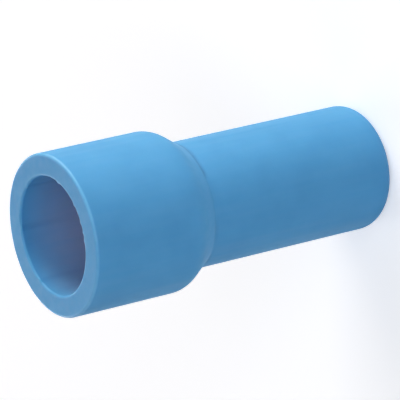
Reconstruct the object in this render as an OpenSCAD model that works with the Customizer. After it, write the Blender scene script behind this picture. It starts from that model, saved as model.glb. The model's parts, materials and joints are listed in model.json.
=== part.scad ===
// Closed-end wire connector: a moulded plastic cap with a crimp sleeve pressed into its barrel.
// It stands on its closed end. +Z runs along the axis and out of the mouth, and z = 0 is the foot.

/* [Crimp sleeve] */
// Hole through the sleeve, which takes the bared wires
sleeve_bore = 3.4; // [2.6:0.1:4.2]
// Wall of the sleeve
sleeve_wall = 0.7; // [0.5:0.05:0.9]
// Length of the sleeve
sleeve_len = 8.9; // [6:0.1:14]
// Chamfer that guides the wires into the sleeve
entry_chamfer = 0.35; // [0.1:0.05:0.35]
// Small chamfer on the sleeve's other edges
edge_break = 0.12; // [0.04:0.02:0.14]

/* [Barrel] */
// Wall of the barrel round the sleeve
barrel_wall = 1.0; // [0.7:0.05:1.3]
// Thickness of the closed end
end_wall = 1.2; // [0.8:0.1:2]
// Round on the edge of the closed end
end_round = 1.0; // [0.4:0.1:1.4]

/* [Seat for the sleeve] */
// Gap between the sleeve and the barrel, all round
sleeve_clearance = 0.05; // [0.02:0.01:0.1]
// Width of the ledge that the sleeve stands on
seat_ledge = 0.5; // [0.3:0.05:0.65]
// Depth of the pocket under the ledge, for the tips of the wires
pocket_len = 1.6; // [0.8:0.1:3]
// Round in the bottom corner of the pocket
pocket_round = 0.4; // [0.1:0.1:0.7]

/* [Shoulder] */
// Height of the cone between the barrel and the mouth
shoulder_len = 1.4; // [1:0.1:2.4]
// Round where the cone meets the mouth
shoulder_round = 1.4; // [0.4:0.1:2]
// Hollow where the cone meets the barrel
root_round = 0.3; // [0.1:0.1:0.8]
// Height of the funnel's throat above the foot of the cone, which sets the wall between them
throat_rise = 0.5; // [0.2:0.05:0.8]
// Plain bore between the top of the sleeve and the throat
throat_lead = 0.7; // [0.3:0.05:1.2]
// Round at the throat, where the funnel meets the bore
throat_round = 0.4; // [0.1:0.1:0.7]
// Hollow at the top of the funnel
funnel_round = 0.8; // [0.2:0.1:1.2]

/* [Mouth] */
// Hole at the open end, which takes the insulated wires
mouth_bore = 6.4; // [5.8:0.1:7.6]
// Wall of the mouth
mouth_wall = 1.2; // [0.8:0.05:1.6]
// Corner of the shoulder up to the open face
mouth_len = 6.6; // [4:0.1:10]
// Round on the outer edge of the open face
rim_round = 0.15; // [0.05:0.05:0.35]
// Round on the inner edge of the open face
lip_round = 0.12; // [0.04:0.04:0.32]

/* [Gate mark] */
// Width of the dimple in the closed end, where the mould was filled
gate_dimple = 1.8; // [1.2:0.1:3]
// Depth of the dimple
gate_depth = 0.25; // [0.2:0.05:0.5]
// Width of the stub of plastic left in the dimple
gate_stub = 0.7; // [0.4:0.1:1]
// Height of the stub, which stays short of the foot
gate_stub_height = 0.15; // [0.05:0.05:0.15]

/* [Hidden] */
$fn = 128;

sleeve_inner_r = sleeve_bore / 2;
sleeve_outer_r = sleeve_inner_r + sleeve_wall;
seat_r = sleeve_outer_r + sleeve_clearance;
pocket_r = seat_r - seat_ledge;
barrel_r = seat_r + barrel_wall;
mouth_inner_r = mouth_bore / 2;
mouth_outer_r = mouth_inner_r + mouth_wall;

// Heights from the foot upwards
ledge_z = end_wall + pocket_len;
sleeve_top_z = ledge_z + sleeve_len;
throat_z = sleeve_top_z + throat_lead;
barrel_top_z = throat_z - throat_rise;
shoulder_top_z = barrel_top_z + shoulder_len;
open_face_z = shoulder_top_z + mouth_len;

// The funnel runs parallel to the cone outside it
cone_rise = shoulder_len / (mouth_outer_r - barrel_r);
funnel_top_z = throat_z + (mouth_inner_r - seat_r) * cone_rise;

// One point for about every so many degrees of a round
round_step = 5;

function unit(v) = v / norm(v);

// The arc that rounds a corner, from the side before it to the side after it. Its two ends, seen from its
// centre, are blended by the sines of the angle left and the angle done, so standing and hollow corners
// need no separate case.
function rounded_corner(before, corner, after, r) =
    let (
        back = unit(before - corner),
        ahead = unit(after - corner),
        half_angle = acos(back * ahead) / 2,
        centre = corner + unit(back + ahead) * r / sin(half_angle),
        start = corner + back * r / tan(half_angle) - centre,
        end = corner + ahead * r / tan(half_angle) - centre,
        turn = 180 - 2 * half_angle,
        steps = ceil(turn / round_step)
    )
    [for (i = [0 : steps])
        centre + (start * sin(turn * (steps - i) / steps) + end * sin(turn * i / steps)) / sin(turn)];

// An outline from its corners, each of them [radius, height, round]
function rounded_outline(corners) =
    let (
        n = len(corners),
        points = [for (c = corners) [c[0], c[1]]]
    )
    [for (i = [0 : n - 1])
        each corners[i][2] > 0
            ? rounded_corner(points[(i + n - 1) % n], points[i], points[(i + 1) % n], corners[i][2])
            : [points[i]]];

module gate_mark() {
    difference() {
        cylinder(d = gate_dimple, h = gate_depth);
        translate([0, 0, gate_depth - gate_stub_height])
            cylinder(d = gate_stub, h = gate_stub_height);
    }
}

// The moulded cap: one wall that turns from foot to barrel, cone and mouth, and back down the inside
module insulating_cap()
    color("#4d93cc")
    difference() {
        rotate_extrude()
            polygon(rounded_outline([
                [0, 0, 0],
                [barrel_r, 0, end_round],
                [barrel_r, barrel_top_z, root_round],
                [mouth_outer_r, shoulder_top_z, shoulder_round],
                [mouth_outer_r, open_face_z, rim_round],
                [mouth_inner_r, open_face_z, lip_round],
                [mouth_inner_r, funnel_top_z, funnel_round],
                [seat_r, throat_z, throat_round],
                [seat_r, ledge_z, 0],
                [pocket_r, ledge_z, 0],
                [pocket_r, end_wall, pocket_round],
                [0, end_wall, 0]
            ]));
        gate_mark();
    }

// The sleeve, cut from drawn tube, with its edges broken and a wider chamfer where the wires go in
module crimp_sleeve()
    color("#b9775a")
    rotate_extrude()
        polygon([
            [sleeve_inner_r + edge_break, ledge_z],
            [sleeve_outer_r - edge_break, ledge_z],
            [sleeve_outer_r, ledge_z + edge_break],
            [sleeve_outer_r, sleeve_top_z - edge_break],
            [sleeve_outer_r - edge_break, sleeve_top_z],
            [sleeve_inner_r + entry_chamfer, sleeve_top_z],
            [sleeve_inner_r, sleeve_top_z - entry_chamfer],
            [sleeve_inner_r, ledge_z + edge_break]
        ]);

insulating_cap();
crimp_sleeve();
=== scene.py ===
# %% [markdown]
# # A closed-end wire connector
#
# Two or three bared wires go into the open mouth of this small blue cap and on into a copper sleeve that is
# hidden in its narrow end. A tool then squeezes cap and sleeve together, and the joint needs no tape. The
# whole thing is 20 mm long.
#
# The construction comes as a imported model, which this script never moves. What it adds is the look: finer
# surfaces for the same two pieces, their finishes, a floor, some lamps and a camera.

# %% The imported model
import json
import math

import bpy
import numpy as np
from mathutils import Matrix, Vector


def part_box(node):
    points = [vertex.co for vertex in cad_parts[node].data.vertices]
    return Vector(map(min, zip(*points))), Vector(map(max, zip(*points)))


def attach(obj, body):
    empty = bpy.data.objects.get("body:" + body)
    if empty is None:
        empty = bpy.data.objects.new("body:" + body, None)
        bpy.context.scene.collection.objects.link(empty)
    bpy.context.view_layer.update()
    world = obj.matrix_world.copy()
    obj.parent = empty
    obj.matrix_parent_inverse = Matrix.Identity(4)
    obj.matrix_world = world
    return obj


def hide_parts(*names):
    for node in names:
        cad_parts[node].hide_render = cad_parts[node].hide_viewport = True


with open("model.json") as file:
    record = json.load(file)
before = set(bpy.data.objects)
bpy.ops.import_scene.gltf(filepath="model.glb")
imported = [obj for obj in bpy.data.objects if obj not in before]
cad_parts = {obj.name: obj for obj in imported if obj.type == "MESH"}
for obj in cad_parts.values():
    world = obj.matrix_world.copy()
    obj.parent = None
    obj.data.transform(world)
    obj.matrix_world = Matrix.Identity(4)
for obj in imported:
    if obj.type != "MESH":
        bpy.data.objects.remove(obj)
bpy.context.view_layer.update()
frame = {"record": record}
MM = 0.001

# %% [markdown]
# ## Sizes
#
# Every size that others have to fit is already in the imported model: the boxes of its two pieces, and its
# mounts, which are the round walls that something fits. A mount gives a wall's radius and how far the
# straight wall runs, so the rounds at its ends follow from what is left over. Only sizes that no mount
# mentions are written down here.

# %% Walls that the mounts describe
mounts = {m["name"]: m for m in frame["record"]["mounts"]}


def wall(name):
    """The radius of a mount's round wall, and the heights between which the wall is straight."""
    mount = mounts[name]
    half = mount["dims"]["length_mm"] * MM / 2
    middle = mount["pos_m"][2]
    return mount["dims"]["r_mm"] * MM, middle - half, middle + half


_, cap_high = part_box("insulating_cap")
sleeve_low, sleeve_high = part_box("crimp_sleeve")
barrel_r, end_round, _ = wall("barrel")
mouth_inner_r, _, _ = wall("mouth_bore")
sleeve_inner_r, sleeve_bore_bottom, sleeve_bore_top = wall("sleeve_bore")
mouth_outer_r, open_face_z = cap_high.x, cap_high.z
sleeve_outer_r, ledge_z, sleeve_top_z = sleeve_high.x, sleeve_low.z, sleeve_high.z
print("Barrel radius, mm:", round(barrel_r / MM, 2), " mouth:", round(mouth_outer_r / MM, 2))

# %% Sizes of the cap that no mount gives
MOUTH_LEN = 6.6 * MM
SHOULDER_LEN = 1.4 * MM
SHOULDER_ROUND = 1.4 * MM
ROOT_ROUND = 0.3 * MM
RIM_ROUND = 0.15 * MM
LIP_ROUND = 0.12 * MM
THROAT_RISE = 0.5 * MM
THROAT_ROUND = 0.4 * MM
FUNNEL_ROUND = 0.8 * MM
SEAT_GAP = 0.05 * MM
SEAT_LEDGE = 0.5 * MM
END_WALL = 1.2 * MM
POCKET_ROUND = 0.4 * MM

shoulder_top_z = open_face_z - MOUTH_LEN
barrel_top_z = shoulder_top_z - SHOULDER_LEN
seat_r = sleeve_outer_r + SEAT_GAP
pocket_r = seat_r - SEAT_LEDGE
throat_z = barrel_top_z + THROAT_RISE
cone_rise = SHOULDER_LEN / (mouth_outer_r - barrel_r)
funnel_top_z = throat_z + (mouth_inner_r - seat_r) * cone_rise
print("Shoulder from", round(barrel_top_z / MM, 2), "to", round(shoulder_top_z / MM, 2), "mm")

# %% [markdown]
# ## A profile that turns into a body
#
# Both pieces are round, so one outline says it all. The outline is a list of corners, each with the radius
# of its round. A Bevel modifier could round the corners afterwards, but then the flat faces beside a small
# round would be one long quad each, and smooth shading would bend across them. Here the arcs are worked out
# instead, and every straight stretch gets a narrow strip at both ends, which keeps the shading of the flat
# part flat.

# %% Rounding the corners of an outline
ARC_STEP = math.radians(4)
STRIP = 0.03 * MM
LONG_STRETCH = 4 * STRIP


def unit(vector):
    """The vector with length one."""
    return vector / np.linalg.norm(vector)


def corner_arc(before, corner, after, radius):
    """The arc that rounds a corner, with three points at least. Its centre lies on the line that halves the
    corner, at radius / sin(half angle). The two touching points, seen from there, are blended as
    (start * sin(what is left of the turn) + end * sin(what is done of it)) / sin(turn), which walks along
    the arc in equal steps."""
    back, ahead = unit(before - corner), unit(after - corner)
    half = math.acos(float(back @ ahead)) / 2
    centre = corner + unit(back + ahead) * radius / math.sin(half)
    start = corner + back * radius / math.tan(half) - centre
    end = corner + ahead * radius / math.tan(half) - centre
    turn = math.pi - 2 * half
    done = np.linspace(0, turn, max(3, math.ceil(turn / ARC_STEP) + 1))[:, None]
    return centre + (start * np.sin(turn - done) + end * np.sin(done)) / math.sin(turn)


def outline(corners, closed):
    """Points along an outline from its corners (radius, height, round): the arcs, and on each long straight
    stretch the inner ends of its two strips. An open outline ends at its last corner."""
    spots = np.array([c[:2] for c in corners])
    arcs = []
    for i, (_, _, radius) in enumerate(corners):
        around = spots[i - 1], spots[i], spots[(i + 1) % len(spots)]
        arcs.append(corner_arc(*around, radius) if radius else spots[i][None])
    points = []
    for arc, following in zip(arcs, arcs[1:] + arcs[:1]):
        points.extend(arc)
        gap = following[0] - arc[-1]
        if np.linalg.norm(gap) > LONG_STRETCH and (closed or arc is not arcs[-1]):
            points.extend([arc[-1] + unit(gap) * STRIP, following[0] - unit(gap) * STRIP])
    return np.array(points)


# %% Turning an outline round the axis
AROUND = 300


def revolve(name, points, closed):
    """A mesh whose vertex (i, k) is outline point i turned by the angle k, at (r cos angle, r sin angle,
    height). An open outline starts and ends on the axis, where one vertex closes each end with a fan."""
    angle = np.linspace(0, 2 * math.pi, AROUND, endpoint=False)
    ring = points if closed else points[1:-1]
    radius, height = ring[:, :1], ring[:, 1:]
    grid = np.stack([radius * np.cos(angle), radius * np.sin(angle), height + 0 * angle], axis=-1)
    vertices = grid.reshape(-1, 3)
    rows = len(ring)
    here = np.arange(rows if closed else rows - 1)[:, None] * AROUND
    above = (here + AROUND) % (rows * AROUND)
    k = np.arange(AROUND)
    following = (k + 1) % AROUND
    quads = np.stack([here + k, here + following, above + following, above + k], axis=-1).reshape(-1, 4)
    faces = quads.tolist()
    if not closed:
        first, last = len(vertices), len(vertices) + 1
        vertices = np.vstack([vertices, [0, 0, points[0][1]], [0, 0, points[-1][1]]])
        top = (rows - 1) * AROUND
        faces += np.stack([0 * k + first, following, k], axis=-1).tolist()
        faces += np.stack([0 * k + last, top + k, top + following], axis=-1).tolist()
    mesh = bpy.data.meshes.new(name)
    mesh.from_pydata(vertices.tolist(), [], faces)
    mesh.shade_smooth()
    piece = bpy.data.objects.new(name, mesh)
    bpy.context.scene.collection.objects.link(piece)
    print(name, "has", len(mesh.polygons), "faces")
    return piece


# %% [markdown]
# ## The cap
#
# An injection-moulded cap has a wall of about one thickness all over, because thick spots sink as they
# cool. Its outline runs from the foot up the barrel, out over the cone to the mouth, over the rim, and back
# down the inside.

# %% The cap's body
GATE_DIMPLE_R = 0.9 * MM
GATE_DEPTH = 0.25 * MM
GATE_STUB_R = 0.35 * MM
GATE_STUB_HEIGHT = 0.15 * MM
GATE_ROUND = 0.06 * MM

cap_corners = [
    (0, GATE_DEPTH - GATE_STUB_HEIGHT, 0),
    (GATE_STUB_R, GATE_DEPTH - GATE_STUB_HEIGHT, GATE_ROUND),
    (GATE_STUB_R, GATE_DEPTH, GATE_ROUND),
    (GATE_DIMPLE_R, GATE_DEPTH, GATE_ROUND),
    (GATE_DIMPLE_R, 0, GATE_ROUND),
    (barrel_r, 0, end_round),
    (barrel_r, barrel_top_z, ROOT_ROUND),
    (mouth_outer_r, shoulder_top_z, SHOULDER_ROUND),
    (mouth_outer_r, open_face_z, RIM_ROUND),
    (mouth_inner_r, open_face_z, LIP_ROUND),
    (mouth_inner_r, funnel_top_z, FUNNEL_ROUND),
    (seat_r, throat_z, THROAT_ROUND),
    (seat_r, ledge_z, 0),
    (pocket_r, ledge_z, 0),
    (pocket_r, END_WALL, POCKET_ROUND),
    (0, END_WALL, 0),
]
cap = revolve("cap", outline(cap_corners, closed=False), closed=False)
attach(cap, "root")
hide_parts("insulating_cap")

# %% [markdown]
# ### Flash on the lip
#
# Where the core pin leaves the mould, a little resin creeps in beside it. It stays on the lip as bits of
# flash, each a few tenths of a millimetre long. The outline knows nothing of angles, so the flash is made
# afterwards, by drawing vertices near the lip a hair towards the axis. A bit is written as the angle of its
# middle and its half width, both in degrees.

# %% Flash on the lip
FLASH = 0.09 * MM
FLASH_REACH = 0.10 * MM
FLASH_BITS = [(-84, 1.6), (-93, 1.1), (-101, 1.8), (-66, 1.2), (-35, 2.0), (28, 1.8), (76, 2.5), (131, 2.2)]


def flash_lip(piece):
    """Each vertex moves towards the axis by FLASH * near * bits. near is exp(-(distance to the lip /
    FLASH_REACH) ** 2), and bits is the sum of the bells exp(-((angle - middle) / width) ** 2)."""
    places = np.empty(3 * len(piece.data.vertices))
    piece.data.vertices.foreach_get("co", places)
    places = places.reshape(-1, 3)
    radius = np.hypot(places[:, 0], places[:, 1])
    angle = np.degrees(np.arctan2(places[:, 1], places[:, 0]))
    away = np.hypot(radius - mouth_inner_r, places[:, 2] - open_face_z)
    near = np.exp(-((away / FLASH_REACH) ** 2))
    bits = sum(np.exp(-(((angle - middle) / width) ** 2)) for middle, width in FLASH_BITS)
    places[:, :2] *= (1 - FLASH * near * bits / np.maximum(radius, FLASH))[:, None]
    piece.data.vertices.foreach_set("co", places.ravel())
    print("Flash reaches in by", round(float((FLASH * near * bits).max()) / MM, 3), "mm")


flash_lip(cap)

# %% [markdown]
# ## The sleeve
#
# The sleeve is a short length of drawn copper tube. Its ends are deburred, and the end that meets the wires
# has a wider chamfer. The chamfers' edges are barely rounded, as tumbled parts are.

# %% The sleeve's body
EDGE_ROUND = 0.03 * MM
edge_break = sleeve_bore_bottom - ledge_z
entry_chamfer = sleeve_top_z - sleeve_bore_top

sleeve_corners = [
    (sleeve_inner_r + edge_break, ledge_z, EDGE_ROUND),
    (sleeve_outer_r - edge_break, ledge_z, EDGE_ROUND),
    (sleeve_outer_r, ledge_z + edge_break, EDGE_ROUND),
    (sleeve_outer_r, sleeve_top_z - edge_break, EDGE_ROUND),
    (sleeve_outer_r - edge_break, sleeve_top_z, EDGE_ROUND),
    (sleeve_inner_r + entry_chamfer, sleeve_top_z, EDGE_ROUND),
    (sleeve_inner_r, sleeve_bore_top, EDGE_ROUND),
    (sleeve_inner_r, ledge_z + edge_break, EDGE_ROUND),
]
sleeve = revolve("sleeve", outline(sleeve_corners, closed=True), closed=True)
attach(sleeve, "root")
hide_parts("crimp_sleeve")

# %% [markdown]
# ## Finishes
#
# A material here is a small network of nodes. Three helpers write every one of them. The first turns a
# colour as it is written, in sRGB, into the linear light that a shader works with. The second adds a node
# with its settings and its links in one call. The third starts a material with an empty tree.

# %% Helpers for materials


def linear(hex_colour):
    """Linear red, green, blue and alpha from "#rrggbb": c / 12.92 below 0.04045, and
    ((c + 0.055) / 1.055) ** 2.4 above."""
    c = np.array([int(hex_colour[i : i + 2], 16) for i in (1, 3, 5)]) / 255
    light = np.where(c <= 0.04045, c / 12.92, ((c + 0.055) / 1.055) ** 2.4)
    return (*light.tolist(), 1.0)


def add(tree, kind, inputs=None, **settings):
    """Adds a node. settings are its own properties, and inputs gives each socket a value or a link."""
    node = tree.nodes.new(kind)
    for name, value in settings.items():
        setattr(node, name, value)
    for socket, value in (inputs or {}).items():
        if isinstance(value, bpy.types.NodeSocket):
            tree.links.new(value, node.inputs[socket])
        else:
            node.inputs[socket].default_value = value
    return node


def new_material(name):
    """A material without any nodes yet, and its tree."""
    material = bpy.data.materials.new(name)
    material.use_nodes = True
    material.node_tree.nodes.clear()
    return material, material.node_tree


print("Middle grey in linear light:", round(linear("#808080")[0], 3))

# %% [markdown]
# ### Where a point lies on the profile
#
# Most marks on a turned or moulded round part depend on two numbers alone: how far a point is from the axis,
# and how high it is. Together they say where it lies on the profile, so every mask below starts from them.
# A noise breaks each mask up. Its values seldom leave the range between 0.3 and 0.7, so that range is what
# the masks stretch.

# %% The profile inside a material
NOISE_LOW = 0.3
NOISE_HIGH = 0.7


def profile_place(tree, place):
    """The vector (distance from the axis, height, 0). The distance is the length of (x, y, 0)."""
    flat = add(tree, "ShaderNodeVectorMath", {0: place, 1: (1, 1, 0)}, operation="MULTIPLY")
    reach = add(tree, "ShaderNodeVectorMath", {0: flat.outputs["Vector"]}, operation="LENGTH")
    height = add(tree, "ShaderNodeSeparateXYZ", {"Vector": place})
    return add(
        tree,
        "ShaderNodeCombineXYZ",
        {"X": reach.outputs["Value"], "Y": height.outputs["Z"]},
    ).outputs["Vector"]


# %% [markdown]
# ### Painted highlights and burnish on the edges
#
# The open end has two edges, the rim outside and the lip further in. Along each, a paler colour is painted
# as the thin line of light that a rounded edge catches. This painted highlight is stronger on the rim than on
# the lip. A broad, soft and faint painted highlight also lies on the cone as a band. These places are
# smoother as well, as burnished edges are. Each place is a ring, written as its radius, its height, how far
# the painted highlight reaches from it, and how strong it is. A noise breaks it into patches, so it is strong
# in some and weaker, but never gone, between them.

# %% A mask for the painted edge highlights and the burnish
EDGE_REACH = 0.20 * MM
BAND_REACH = 0.60 * MM
BAND_RISE = 0.48 * MM
RING_PATCH = 0.9 * MM
RING_FULL = 0.6
RING_LEAST = 0.45
RING_CORE = 0.25
# Rings where a painted highlight lightens the colour and the roughness drops: the rim, the lip and a band on
# the cone.
HIGHLIGHT_RINGS = [
    (mouth_outer_r, open_face_z, EDGE_REACH, 1.0),
    (mouth_inner_r, open_face_z, EDGE_REACH, 0.4),
    (barrel_r + BAND_RISE / cone_rise, barrel_top_z + BAND_RISE, BAND_REACH, 0.22),
]


def edge_highlight_and_burnish(tree, place, profile):
    """The mask of a ring, for its painted highlight and its burnish, is full within a quarter of its reach,
    and zero beyond the reach. The largest one counts, and a noise breaks it up."""
    patch = add(tree, "ShaderNodeTexNoise", {"Vector": place, "Scale": 1 / RING_PATCH, "Detail": 3.0})
    strength = add(
        tree,
        "ShaderNodeMapRange",
        {
            "Value": patch.outputs["Fac"],
            "From Min": NOISE_LOW,
            "From Max": RING_FULL,
            "To Min": RING_LEAST,
        },
    )
    highlight_and_burnish = 0.0
    for edge_r, edge_z, reach, ring_strength in HIGHLIGHT_RINGS:
        away = add(
            tree,
            "ShaderNodeVectorMath",
            {0: profile, 1: (edge_r, edge_z, 0)},
            operation="DISTANCE",
        )
        near = add(
            tree,
            "ShaderNodeMapRange",
            {
                "Value": away.outputs["Value"],
                "From Min": reach,
                "From Max": reach * RING_CORE,
                "To Max": ring_strength,
            },
            interpolation_type="SMOOTHSTEP",
        )
        highlight_and_burnish = add(
            tree,
            "ShaderNodeMath",
            {0: highlight_and_burnish, 1: near.outputs["Result"]},
            operation="MAXIMUM",
        ).outputs["Value"]
    return add(
        tree,
        "ShaderNodeMath",
        {0: highlight_and_burnish, 1: strength.outputs["Result"]},
        operation="MULTIPLY",
    ).outputs["Value"]


# %% [markdown]
# ### Shade painted in a crease
#
# The crease between the cone and the barrel is darkened by painted shade, in blotches a few millimetres long.
# The noise is a 4D one only for its fourth number, which picks another pattern without moving or scaling it.

# %% A mask for the crease under the cone
# How far the painted shade in the crease reaches, how its blotches fall, and how dark it is.
CREASE_REACH = 0.26 * MM
SHADE_PATCH = 2.2 * MM
SHADE_PATTERN = 8.0
SHADE_START = 0.45
SHADE_FULL = 0.6
SHADE_DEPTH = 0.8


def painted_crease_shade(tree, place, profile):
    """Painted shade in the crease between cone and barrel, zero CREASE_REACH away from it, in blotches."""
    away = add(
        tree,
        "ShaderNodeVectorMath",
        {0: profile, 1: (barrel_r, barrel_top_z, 0)},
        operation="DISTANCE",
    )
    near = add(
        tree,
        "ShaderNodeMapRange",
        {"Value": away.outputs["Value"], "From Min": CREASE_REACH, "From Max": 0.0},
        interpolation_type="SMOOTHSTEP",
    )
    blotch = add(
        tree,
        "ShaderNodeTexNoise",
        {"Vector": place, "Scale": 1 / SHADE_PATCH, "Detail": 2.0, "W": SHADE_PATTERN},
        noise_dimensions="4D",
    )
    strength = add(
        tree,
        "ShaderNodeMapRange",
        {
            "Value": blotch.outputs["Fac"],
            "From Min": SHADE_START,
            "From Max": SHADE_FULL,
            "To Max": SHADE_DEPTH,
        },
    )
    return add(
        tree,
        "ShaderNodeMath",
        {0: near.outputs["Result"], 1: strength.outputs["Result"]},
        operation="MULTIPLY",
    ).outputs["Value"]


# %% [markdown]
# ### Bounce light painted in the bore
#
# Deep in the mouth the wall gets warm light bounced off the copper sleeve below, and that light is painted
# into the colour: a painted bounce light that turns the wall paler, greyer and warmer. It grows with the
# depth. It is broken into streaks along the axis, so the noise that breaks it up is drawn out that way.

# %% A mask for the bounce light painted in the bore
# Sizes of the painted bounce light in the bore, and of its streaks.
BOUNCE_START = 0.1 * MM
BOUNCE_FULL = 4.2 * MM
STREAK_LINE = 0.25 * MM
STREAK_LEAST = 0.92
STREAK_MOST = 1.06
ALONG_AXIS = 0.05


def painted_bounce_in_bore(tree, place, profile):
    """The painted bounce light grows with the depth below the open face. Only points nearer the axis than the
    bore's wall have it, and only those above the middle of the end wall."""
    split = add(tree, "ShaderNodeSeparateXYZ", {"Vector": profile})
    depth = add(
        tree,
        "ShaderNodeMapRange",
        {
            "Value": split.outputs["Y"],
            "From Min": open_face_z - BOUNCE_START,
            "From Max": open_face_z - BOUNCE_FULL,
        },
    )
    inside = add(
        tree,
        "ShaderNodeMapRange",
        {
            "Value": split.outputs["X"],
            "From Min": mouth_inner_r + LIP_ROUND / 2,
            "From Max": mouth_inner_r,
        },
    )
    above = add(
        tree,
        "ShaderNodeMapRange",
        {"Value": split.outputs["Y"], "From Min": END_WALL / 2, "From Max": END_WALL},
    )
    drawn_out = add(tree, "ShaderNodeMapping", {"Vector": place, "Scale": (1, 1, ALONG_AXIS)})
    lines = add(
        tree,
        "ShaderNodeTexNoise",
        {"Vector": drawn_out.outputs["Vector"], "Scale": 1 / STREAK_LINE, "Detail": 3.0},
    )
    broken = add(
        tree,
        "ShaderNodeMapRange",
        {
            "Value": lines.outputs["Fac"],
            "From Min": NOISE_LOW,
            "From Max": NOISE_HIGH,
            "To Min": STREAK_LEAST,
            "To Max": STREAK_MOST,
        },
    )
    mask = depth.outputs["Result"]
    for other in (inside, above, broken):
        mask = add(
            tree,
            "ShaderNodeMath",
            {0: mask, 1: other.outputs["Result"]},
            operation="MULTIPLY",
        ).outputs["Value"]
    return mask


# %% [markdown]
# ### Moulded polyamide
#
# Such caps are polyamide 66 with blue pigment, moulded against finely eroded steel. That gives a satin face:
# it reflects, but never as a mirror, and its highlights are broad and soft. The fine grain is bump alone,
# because its pits are too small to show a colour of their own. Pigment is never mixed quite evenly, so a
# slow noise moves the colour a little. The cap is pulled off its core along the axis, which leaves faint drag
# marks, and they show most in the gloss. Light travels a short way through the resin, and blue light travels
# furthest, which softens the edges of the rim.

# %% Blue polyamide, moulded
BLUE = "#4299cf"
BLUE_PALE = "#4aa1d6"
# A paler blue, painted as a highlight on the rim, the lip and the cone.
EDGE_HIGHLIGHT = "#62b6e6"
# A pale grey-mauve, painted as warm bounce light from the copper deep in the bore.
COPPER_BOUNCE = "#adb8d8"
# A darker blue, painted as shade in the crease under the cone.
CREASE_SHADE_BLUE = "#3a86bb"
POLYAMIDE_IOR = 1.53
GLOSS_LEVEL = 0.6
SATIN_LOW = 0.62
SATIN_HIGH = 0.76
BURNISHED = 0.42
CLOUD = 2.2 * MM
DRAG = 0.35 * MM
DRAG_DEPTH = 0.006 * MM
GRAIN = 0.09 * MM
GRAIN_DEPTH = 0.004 * MM
RELIEF = 0.5
SUBSURFACE = 0.3
LIGHT_TRAVEL = 0.6 * MM
TRAVEL_BY_COLOUR = (0.3, 0.7, 1.0)


def moulded_polyamide():
    """Polyamide 66 with blue pigment, as moulded. 1.53 is the resin's IOR, and a roughness near 0.7 suits an
    eroded face."""
    material, tree = new_material("moulded_polyamide")
    place = add(tree, "ShaderNodeTexCoord").outputs["Object"]
    profile = profile_place(tree, place)
    # Masks for the painted edge highlights and burnish, the painted bounce light in the bore and the painted
    # shade in the crease.
    highlight_and_burnish = edge_highlight_and_burnish(tree, place, profile)
    bounce_lit = painted_bounce_in_bore(tree, place, profile)
    crease_shade = painted_crease_shade(tree, place, profile)

    cloud = add(tree, "ShaderNodeTexNoise", {"Vector": place, "Scale": 1 / CLOUD, "Detail": 4.0})
    spread = add(
        tree,
        "ShaderNodeMapRange",
        {"Value": cloud.outputs["Fac"], "From Min": NOISE_LOW, "From Max": NOISE_HIGH},
    )
    colour = add(
        tree,
        "ShaderNodeMix",
        {"Factor": spread.outputs["Result"], "A": linear(BLUE), "B": linear(BLUE_PALE)},
        data_type="RGBA",
    )
    # Mixed in: a painted highlight on the edges, painted bounce light in the bore and painted shade in the
    # crease.
    for mask, shade in ((highlight_and_burnish, EDGE_HIGHLIGHT), (bounce_lit, COPPER_BOUNCE), (crease_shade, CREASE_SHADE_BLUE)):
        colour = add(
            tree,
            "ShaderNodeMix",
            {"Factor": mask, "A": colour.outputs["Result"], "B": linear(shade)},
            data_type="RGBA",
        )

    drawn_out = add(tree, "ShaderNodeMapping", {"Vector": place, "Scale": (1, 1, ALONG_AXIS)})
    drag = add(
        tree,
        "ShaderNodeTexNoise",
        {"Vector": drawn_out.outputs["Vector"], "Scale": 1 / DRAG, "Detail": 4.0},
    )
    satin = add(
        tree,
        "ShaderNodeMapRange",
        {
            "Value": drag.outputs["Fac"],
            "From Min": NOISE_LOW,
            "From Max": NOISE_HIGH,
            "To Min": SATIN_LOW,
            "To Max": SATIN_HIGH,
        },
    )
    rough = add(
        tree,
        "ShaderNodeMix",
        {"Factor": highlight_and_burnish, "A": satin.outputs["Result"], "B": BURNISHED},
        data_type="FLOAT",
    )
    grain = add(tree, "ShaderNodeTexNoise", {"Vector": place, "Scale": 1 / GRAIN, "Detail": 3.0})
    marks = add(
        tree,
        "ShaderNodeBump",
        {"Height": drag.outputs["Fac"], "Distance": DRAG_DEPTH, "Strength": RELIEF},
    )
    bump = add(
        tree,
        "ShaderNodeBump",
        {
            "Height": grain.outputs["Fac"],
            "Distance": GRAIN_DEPTH,
            "Strength": RELIEF,
            "Normal": marks.outputs["Normal"],
        },
    )
    shader = add(
        tree,
        "ShaderNodeBsdfPrincipled",
        {
            "Base Color": colour.outputs["Result"],
            "Roughness": rough.outputs["Result"],
            "IOR": POLYAMIDE_IOR,
            "Specular IOR Level": GLOSS_LEVEL,
            "Normal": bump.outputs["Normal"],
            "Subsurface Weight": SUBSURFACE,
            "Subsurface Radius": TRAVEL_BY_COLOUR,
            "Subsurface Scale": LIGHT_TRAVEL,
        },
    )
    add(tree, "ShaderNodeOutputMaterial", {"Surface": shader.outputs["BSDF"]})
    return material


cap.data.materials.append(moulded_polyamide())
print("Blue pigment in linear light:", [round(c, 3) for c in linear(BLUE)[:3]])
# The edge lightening is a painted highlight, and the colour deep in the bore is painted bounce light.
print("Worn for", EDGE_REACH / MM, "mm round the edges, scuffed in full", BOUNCE_FULL / MM, "mm down")

# %% [markdown]
# ### Drawn copper
#
# The tube is drawn through a die, which leaves fine lines along its length, and it is bare, so handling
# dulls it in patches. A metal takes its colour from its reflections, so the base colour is what copper
# reflects, and the tarnish changes the roughness more than the colour.

# %% Copper, drawn
COPPER = "#c98263"
COPPER_BRIGHT = "#d99876"
CLEAN = 0.28
HANDLED = 0.42
DRAW_LINE = 0.08 * MM
DRAW_DEPTH = 0.004 * MM
DRAW_RELIEF = 0.6
DRAWN_OUT = 0.03
TARNISH = 1.5 * MM


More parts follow.
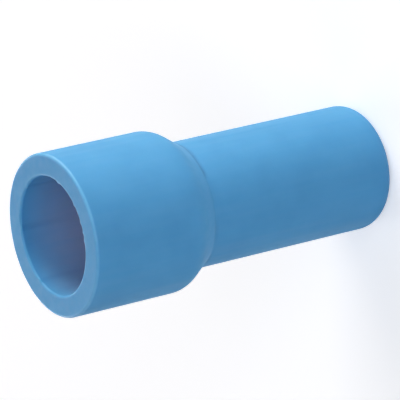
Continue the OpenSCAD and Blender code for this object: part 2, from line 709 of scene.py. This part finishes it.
def drawn_copper():
    """Bare copper tube. The IOR of a metal stays at its default, because its colour does that work."""
    material, tree = new_material("drawn_copper")
    place = add(tree, "ShaderNodeTexCoord").outputs["Object"]
    stretched = add(tree, "ShaderNodeMapping", {"Vector": place, "Scale": (1, 1, DRAWN_OUT)})
    lines = add(
        tree,
        "ShaderNodeTexNoise",
        {"Vector": stretched.outputs["Vector"], "Scale": 1 / DRAW_LINE, "Detail": 3.0},
    )
    tarnish = add(tree, "ShaderNodeTexNoise", {"Vector": place, "Scale": 1 / TARNISH, "Detail": 4.0})
    colour = add(
        tree,
        "ShaderNodeMix",
        {"Factor": tarnish.outputs["Fac"], "A": linear(COPPER), "B": linear(COPPER_BRIGHT)},
        data_type="RGBA",
    )
    rough = add(
        tree,
        "ShaderNodeMapRange",
        {"Value": tarnish.outputs["Fac"], "To Min": CLEAN, "To Max": HANDLED},
    )
    bump = add(
        tree,
        "ShaderNodeBump",
        {"Height": lines.outputs["Fac"], "Distance": DRAW_DEPTH, "Strength": DRAW_RELIEF},
    )
    shader = add(
        tree,
        "ShaderNodeBsdfPrincipled",
        {
            "Base Color": colour.outputs["Result"],
            "Metallic": 1.0,
            "Roughness": rough.outputs["Result"],
            "Normal": bump.outputs["Normal"],
        },
    )
    add(tree, "ShaderNodeOutputMaterial", {"Surface": shader.outputs["BSDF"]})
    return material


sleeve.data.materials.append(drawn_copper())
print("Draw lines every", DRAW_LINE / MM, "mm or so")

# %% [markdown]
# ## The studio
#
# A small part is best shown on white card, in soft light. The card is lit a little below white, so that it
# still shows the part's shadow, and a glow of its own lifts it to white for the camera. Reflections get the
# same glow, so that the finishes see the room that the camera sees. The light that falls on the part isn't
# raised by it. The room behind the card is white for the same rays, and gives no light of its own.

# %% A switch for rays that look at the room


def looking(tree):
    """One for rays that look at the room: from the camera, off a gloss, or through glass. Otherwise zero."""
    path = add(tree, "ShaderNodeLightPath")
    either = path.outputs["Is Camera Ray"]
    for ray in ("Is Glossy Ray", "Is Transmission Ray"):
        either = add(
            tree,
            "ShaderNodeMath",
            {0: either, 1: path.outputs[ray]},
            operation="MAXIMUM",
        ).outputs["Value"]
    return either


# %% The floor
FLOOR_HALF = 1.5
CARD = "#f2f2f2"
CARD_GLOW = 0.43


def white_card():
    """Matt white card, with the glow that only looking rays see."""
    material, tree = new_material("white_card")
    card = add(tree, "ShaderNodeBsdfDiffuse", {"Color": linear(CARD)})
    glow = add(tree, "ShaderNodeEmission", {"Color": (1, 1, 1, 1), "Strength": CARD_GLOW})
    lifted = add(tree, "ShaderNodeAddShader", {0: card.outputs[0], 1: glow.outputs[0]})
    both = add(tree, "ShaderNodeMixShader", {0: looking(tree), 1: card.outputs[0], 2: lifted.outputs[0]})
    add(tree, "ShaderNodeOutputMaterial", {"Surface": both.outputs[0]})
    return material


corners = FLOOR_HALF * np.array([[-1, -1, 0], [1, -1, 0], [1, 1, 0], [-1, 1, 0]])
floor_mesh = bpy.data.meshes.new("floor")
floor_mesh.from_pydata(corners.tolist(), [], [(0, 1, 2, 3)])
floor = bpy.data.objects.new("floor", floor_mesh)
bpy.context.scene.collection.objects.link(floor)
floor.data.materials.append(white_card())
print("Floor, m:", 2 * FLOOR_HALF, "square")

# %% The world
NO_LIGHT = 0.0
WHITE_ROOM = 1.0
world = bpy.data.worlds.new("studio")
bpy.context.scene.world = world
world.use_nodes = True
tree = world.node_tree
tree.nodes.clear()
dark = add(tree, "ShaderNodeBackground", {"Color": (1, 1, 1, 1), "Strength": NO_LIGHT})
white = add(tree, "ShaderNodeBackground", {"Color": (1, 1, 1, 1), "Strength": WHITE_ROOM})
room = add(tree, "ShaderNodeMixShader", {0: looking(tree), 1: dark.outputs[0], 2: white.outputs[0]})
add(tree, "ShaderNodeOutputWorld", {"Surface": room.outputs[0]})
print("The room looks", WHITE_ROOM, "white and lights the part by", NO_LIGHT)

# %% [markdown]
# ## The lamps
#
# Five softboxes light the object, as in a small product studio. The key stands low at the right, is a
# little warm, and draws the bright band along the barrel. A weak lamp above it, just as warm, rounds that
# side off. The other three are a little cool and open the shade: one in front and above, one at the left,
# and a low one behind that lights the far wall inside the mouth. Lamps could all be white, but a warm side
# and a cool side show the roundness of a plain blue moulding better.

# %% Softboxes
LAMP_DISTANCE = 0.30
MIDDLE = Vector((0, 0, 10 * MM))


def softbox(name, azimuth, elevation, size, radiance, tint):
    """A square lamp that faces the middle of the object, seen from there in the direction
    (cos azimuth * cos elevation, sin azimuth * cos elevation, sin elevation). Its power is radiance * pi *
    area, so a radiance of 1 looks white, and its light has the colour tint."""
    around, rise = math.radians(azimuth), math.radians(elevation)
    towards = Vector((math.cos(around) * math.cos(rise), math.sin(around) * math.cos(rise), math.sin(rise)))
    light = bpy.data.lights.new(name, "AREA")
    light.shape = "SQUARE"
    light.size = size
    light.color = tint
    light.energy = radiance * math.pi * size**2
    lamp = bpy.data.objects.new(name, light)
    bpy.context.scene.collection.objects.link(lamp)
    lamp.location = MIDDLE + towards * LAMP_DISTANCE
    lamp.rotation_mode = "QUATERNION"
    lamp.rotation_quaternion = towards.to_track_quat("Z", "Y")
    print(name, "at", [round(c, 2) for c in lamp.location], "m,", round(light.energy, 2), "W")


WARM = (1.07, 1.0, 0.94)
COOL = (0.98, 1.0, 1.08)
softbox("key", 0, 5, 0.20, 8.7, WARM)
softbox("front", -92, 35, 0.30, 1.52, COOL)
softbox("left", 173, 35, 0.30, 0.58, COOL)
softbox("back", 93, 5, 0.20, 6.1, COOL)
softbox("upper", 0, 50, 0.30, 0.50, WARM)

# %% [markdown]
# ## The camera
#
# The camera looks down at the object through a long lens, so that the barrel hardly tapers. It is rolled
# about its line of sight by more than a quarter turn, which lays the upright connector on its side in the
# view. It is aimed a little above the middle of the part's height.

# %% Camera
CAMERA_ELEVATION = math.radians(31.6)
CAMERA_ROLL = math.radians(103.1)
CAMERA_DISTANCE = 190.1 * MM
LENS = 319.3
AIM = Vector((0.09 * MM, 0, 10.57 * MM))

ahead = Vector((0, math.cos(CAMERA_ELEVATION), -math.sin(CAMERA_ELEVATION)))
upright = Vector((0, math.sin(CAMERA_ELEVATION), math.cos(CAMERA_ELEVATION)))
level = Vector((1, 0, 0))
up = level * math.sin(CAMERA_ROLL) + upright * math.cos(CAMERA_ROLL)
right = ahead.cross(up)

lens = bpy.data.cameras.new("camera")
lens.lens = LENS
lens.clip_start = 1 * MM
camera = bpy.data.objects.new("camera", lens)
bpy.context.scene.collection.objects.link(camera)
turned = Matrix((right, up, -ahead)).transposed().to_4x4()
camera.matrix_world = Matrix.Translation(AIM - ahead * CAMERA_DISTANCE) @ turned
bpy.context.scene.camera = camera
print("Camera at", [round(c / MM, 1) for c in camera.matrix_world.translation], "mm")

# %% [markdown]
# ## The end
#
# The plain view transform shows a colour as it is written.

# %% View transform
bpy.context.scene.view_settings.view_transform = "Standard"
